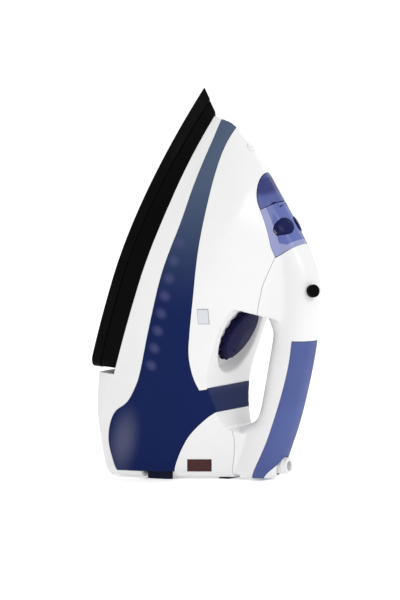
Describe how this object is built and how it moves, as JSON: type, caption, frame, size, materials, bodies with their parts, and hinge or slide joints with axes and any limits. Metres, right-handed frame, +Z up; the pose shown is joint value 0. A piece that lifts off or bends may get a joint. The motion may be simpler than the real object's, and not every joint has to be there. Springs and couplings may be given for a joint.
{
  "type": "steam iron",
  "caption": "Household steam iron standing upright on its heel: dark coated soleplate, tinted water tank, looped handle with grip, temperature dial, steam and spray buttons, steam lever.",
  "frame": {"origin": "centre of the bounding box in X and Y, on the surface that the iron stands on", "axes": "+Z up while the iron stands on its heel, the sole faces -X and the handle is on +X, +Y is the left side seen from the handle, tip up"},
  "size_m": [0.1678, 0.116, 0.289],
  "materials": {
    "coated_aluminium": "dark non-stick coating, satin",
    "black_plastic": "heat-resistant black moulding, satin",
    "white_plastic": "white moulding, gloss",
    "navy_tank": "dark blue tinted tank, gloss",
    "tank_blue": "blue tinted moulding inside the tank",
    "grip_blue": "soft blue grip, satin",
    "panel_blue": "blue tinted panel, gloss",
    "button_navy": "dark blue moulding",
    "dial_navy": "dark blue moulding, satin",
    "dial_face": "dark blue face, satin",
    "knob_black": "black moulding",
    "feet_rubber": "dark moulded feet",
    "seal_rubber": "silicone rubber",
    "bare_aluminium": "sheet metal",
    "steel_tube": "steel",
    "zinc_screw": "zinc-plated steel",
    "brass_pins": "brass",
    "ceramic": "ceramic and bakelite",
    "clear_plastic": "clear moulding",
    "red_lens": "dark red lens",
    "spring_steel": "spring wire"
  },
  "bodies": {
    "housing": {"soleplate": "coated_aluminium", "chamber_cover": "bare_aluminium", "heating_element": "steel_tube", "element_pins": "brass_pins", "heat_shield": "black_plastic", "thermostat": "ceramic", "thermal_fuse": "ceramic", "terminal_block": "ceramic", "lower_shell": "white_plastic", "water_tank": "navy_tank", "tank_lid": "tank_blue", "tank_seal": "seal_rubber", "front_cover": "white_plastic", "handle_shell": "white_plastic", "rear_cover": "white_plastic", "grip": "grip_blue", "end_cap": "white_plastic", "control_panel": "panel_blue", "filler_neck": "tank_blue", "filler_pin": "zinc_screw", "steam_pump": "clear_plastic", "steam_spring": "spring_steel", "spray_pump": "clear_plastic", "spray_spring": "spring_steel", "spray_hose": "seal_rubber", "spray_nozzle": "white_plastic", "lever_axle": "zinc_screw", "lever_bracket": "clear_plastic", "valve_seat": "steel_tube", "dial_ring": "white_plastic", "pilot_lens": "clear_plastic", "badge_lens": "red_lens", "heel_plate": "white_plastic", "foot_left": "feet_rubber", "foot_right": "feet_rubber", "rear_pad": "feet_rubber", "heel_screws": "zinc_screw", "sole_screws": "zinc_screw", "gland_socket": "clear_plastic"},
    "filler_lid": {"filler_flap": "panel_blue", "flap_plug": "panel_blue"},
    "steam_press": {"steam_button": "button_navy", "steam_plunger": "clear_plastic"},
    "spray_press": {"spray_button": "button_navy", "spray_plunger": "clear_plastic"},
    "lever": {"steam_lever": "knob_black"},
    "valve": {"valve_rod": "clear_plastic"},
    "dial_knob": {"dial": "dial_navy", "dial_cap": "dial_face", "thermostat_spindle": "clear_plastic"},
    "gland": {"cord_gland": "white_plastic"}
  },
  "joints": [
    {"name": "filler_flap_hinge", "type": "hinge", "parent": "housing", "child": "filler_lid", "pos_m": [0.0482, 0, 0.20464], "axis": [0, 1, 0], "range_deg": [0, 56]},
    {"name": "steam_button_slide", "type": "slide", "parent": "housing", "child": "steam_press", "axis": [-0.8552, 0, -0.5184], "range_m": [0, 0.0035], "stiffness_N_per_m": 500, "deforming": ["steam_spring"]},
    {"name": "spray_button_slide", "type": "slide", "parent": "housing", "child": "spray_press", "axis": [-0.8552, 0, -0.5184], "range_m": [0, 0.0035], "stiffness_N_per_m": 500, "deforming": ["spray_spring"]},
    {"name": "steam_lever_swing", "type": "hinge", "parent": "housing", "child": "lever", "pos_m": [0.06464, 0, 0.13945], "axis": [-0.1994, 0, 0.9799], "range_deg": [0, 64]},
    {"name": "valve_rod_slide", "type": "slide", "parent": "housing", "child": "valve", "axis": [0.9483, 0, -0.3173], "range_m": [0, 0.0029]},
    {"name": "dial_turn", "type": "hinge", "parent": "housing", "child": "dial_knob", "pos_m": [0.01229, 0, 0.10899], "axis": [0.8746, 0, -0.4848], "range_deg": [0, 300]},
    {"name": "cord_gland_swivel", "type": "hinge", "parent": "housing", "child": "gland", "pos_m": [0.04562, 0, 0.011], "axis": [1, 0, 0], "range_deg": [-90, 90]}
  ],
  "couplings": [
    {"joint": "steam_lever_swing", "follows": "valve_rod_slide", "rad_per_m": 385.1}
  ]
}
